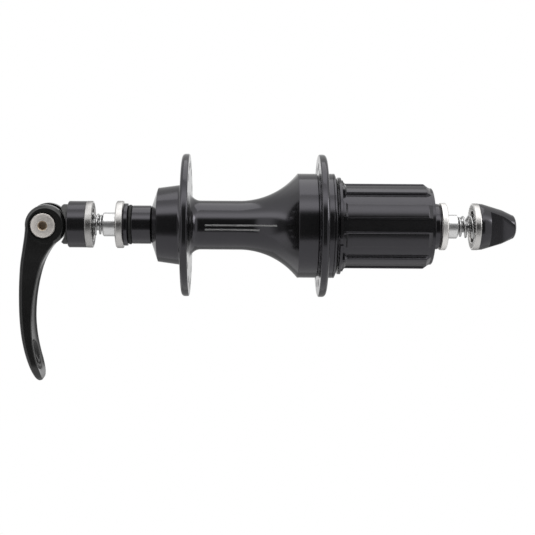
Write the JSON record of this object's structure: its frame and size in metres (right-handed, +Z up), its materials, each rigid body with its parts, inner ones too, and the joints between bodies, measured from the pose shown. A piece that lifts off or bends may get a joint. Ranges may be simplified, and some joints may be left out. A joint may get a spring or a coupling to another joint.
{
  "type": "bicycle rear hub",
  "caption": "Rear bicycle hub with sealed bearings, a splined cassette freehub body and a quick-release skewer with a curved cam lever and a conical end nut.",
  "frame": {"origin": "on the axle's axis, midway between the two locknut faces", "axes": "+X along the axle towards the cassette side, +Z up, -Y towards the viewer with the lever on the left"},
  "size_m": [0.2035, 0.0582, 0.0935],
  "materials": {
    "anodised_black": "satin black anodised, fine turned finish",
    "freehub_black": "satin black anodised, milled splines",
    "axle_alloy": "bright turned",
    "plated_steel": "bright plated, knurled",
    "bearing_steel": "ground and polished",
    "cage_polymer": "moulded",
    "seal_rubber": "moulded lip seal",
    "o_ring_rubber": "moulded",
    "tool_steel": "hardened, ground",
    "spring_steel": "drawn wire",
    "rod_steel": "drawn, plated",
    "lever_black": "forged, gloss black anodised",
    "screw_steel": "bright plated",
    "cap_black": "gloss black anodised",
    "saddle_plastic": "moulded, dark grey"
  },
  "bodies": {
    "axle": {"axle": "axle_alloy", "left_locknut": "plated_steel", "right_locknut": "plated_steel", "left_lock_ring": "anodised_black", "left_o_ring": "o_ring_rubber", "left_sleeve": "anodised_black", "right_spacer": "anodised_black", "inner_spacer": "axle_alloy", "freehub_spacer": "axle_alloy", "left_hub_inner_race": "bearing_steel", "right_hub_inner_race": "bearing_steel", "inner_freehub_inner_race": "bearing_steel", "outer_freehub_inner_race": "bearing_steel"},
    "shell": {"hub_shell": "anodised_black", "ratchet_ring": "tool_steel", "left_dust_cover": "anodised_black", "freehub_dust_seal": "seal_rubber", "left_hub_outer_race": "bearing_steel", "left_hub_seals": "seal_rubber", "right_hub_outer_race": "bearing_steel", "right_hub_seals": "seal_rubber"},
    "freehub": {"freehub_body": "freehub_black", "pawl_spring_ring": "spring_steel", "freehub_circlip": "spring_steel", "inner_freehub_outer_race": "bearing_steel", "inner_freehub_seals": "seal_rubber", "outer_freehub_outer_race": "bearing_steel", "outer_freehub_seals": "seal_rubber"},
    "pawl_1": {"pawl_1": "tool_steel"},
    "pawl_2": {"pawl_2": "tool_steel"},
    "pawl_3": {"pawl_3": "tool_steel"},
    "left_hub_ball_set": {"left_hub_balls": "bearing_steel", "left_hub_cage": "cage_polymer"},
    "right_hub_ball_set": {"right_hub_balls": "bearing_steel", "right_hub_cage": "cage_polymer"},
    "inner_freehub_ball_set": {"inner_freehub_balls": "bearing_steel", "inner_freehub_cage": "cage_polymer"},
    "outer_freehub_ball_set": {"outer_freehub_balls": "bearing_steel", "outer_freehub_cage": "cage_polymer"},
    "skewer": {"skewer_rod": "rod_steel"},
    "lever": {"cam_lever": "lever_black", "pivot_screw": "screw_steel", "pivot_nut": "screw_steel"},
    "cap": {"lever_cap": "cap_black", "lever_clamp_ring": "plated_steel", "saddle_washer": "saddle_plastic", "left_spring": "spring_steel"},
    "nut_carriage": {"right_spring": "spring_steel"},
    "nut": {"skewer_nut": "cap_black", "nut_insert": "screw_steel", "nut_clamp_ring": "plated_steel"}
  },
  "joints": [
    {"name": "shell_spin", "type": "hinge", "parent": "axle", "child": "shell", "pos_m": [0, 0, 0], "axis": [1, 0, 0], "continuous": true},
    {"name": "freehub_spin", "type": "hinge", "parent": "axle", "child": "freehub", "pos_m": [0.04, 0, 0], "axis": [1, 0, 0], "continuous": true},
    {"name": "pawl_1_tilt", "type": "hinge", "parent": "freehub", "child": "pawl_1", "pos_m": [0.0145, 0, 0.0114], "axis": [1, 0, 0], "range_deg": [0, 10]},
    {"name": "pawl_2_tilt", "type": "hinge", "parent": "freehub", "child": "pawl_2", "pos_m": [0.0145, -0.00987, -0.0057], "axis": [1, 0, 0], "range_deg": [0, 10]},
    {"name": "pawl_3_tilt", "type": "hinge", "parent": "freehub", "child": "pawl_3", "pos_m": [0.0145, 0.00987, -0.0057], "axis": [1, 0, 0], "range_deg": [0, 10]},
    {"name": "left_hub_cage_roll", "type": "hinge", "parent": "axle", "child": "left_hub_ball_set", "pos_m": [-0.0465, 0, 0], "axis": [1, 0, 0], "continuous": true},
    {"name": "right_hub_cage_roll", "type": "hinge", "parent": "axle", "child": "right_hub_ball_set", "pos_m": [0.004, 0, 0], "axis": [1, 0, 0], "continuous": true},
    {"name": "inner_freehub_cage_roll", "type": "hinge", "parent": "axle", "child": "inner_freehub_ball_set", "pos_m": [0.022, 0, 0], "axis": [1, 0, 0], "continuous": true},
    {"name": "outer_freehub_cage_roll", "type": "hinge", "parent": "axle", "child": "outer_freehub_ball_set", "pos_m": [0.0493, 0, 0], "axis": [1, 0, 0], "continuous": true},
    {"name": "skewer_turn", "type": "hinge", "parent": "axle", "child": "skewer", "pos_m": [0, 0, 0], "axis": [1, 0, 0], "continuous": true},
    {"name": "lever_cam", "type": "hinge", "parent": "skewer", "child": "lever", "pos_m": [-0.097, 0, 0], "axis": [0, 1, 0], "range_deg": [0, 150]},
    {"name": "cap_slide", "type": "slide", "parent": "skewer", "child": "cap", "axis": [1, 0, 0], "range_m": [-0.0015, 0], "deforming": ["left_spring"]},
    {"name": "nut_travel", "type": "slide", "parent": "skewer", "child": "nut_carriage", "axis": [1, 0, 0], "range_m": [-0.0032, 0.0056], "deforming": ["right_spring"]},
    {"name": "nut_turn", "type": "hinge", "parent": "nut_carriage", "child": "nut", "pos_m": [0.085, 0, 0], "axis": [1, 0, 0], "range_deg": [-1445, 2525]}
  ],
  "couplings": [
    {"joint": "pawl_2_tilt", "follows": "pawl_1_tilt", "ratio": 1},
    {"joint": "pawl_3_tilt", "follows": "pawl_1_tilt", "ratio": 1},
    {"joint": "left_hub_cage_roll", "follows": "shell_spin", "ratio": 0.58333},
    {"joint": "right_hub_cage_roll", "follows": "shell_spin", "ratio": 0.58333},
    {"joint": "inner_freehub_cage_roll", "follows": "freehub_spin", "ratio": 0.58333},
    {"joint": "outer_freehub_cage_roll", "follows": "freehub_spin", "ratio": 0.58333},
    {"joint": "cap_slide", "follows": "lever_cam", "m_per_rad": -0.00057},
    {"joint": "nut_turn", "follows": "nut_travel", "rad_per_m": 7854}
  ]
}
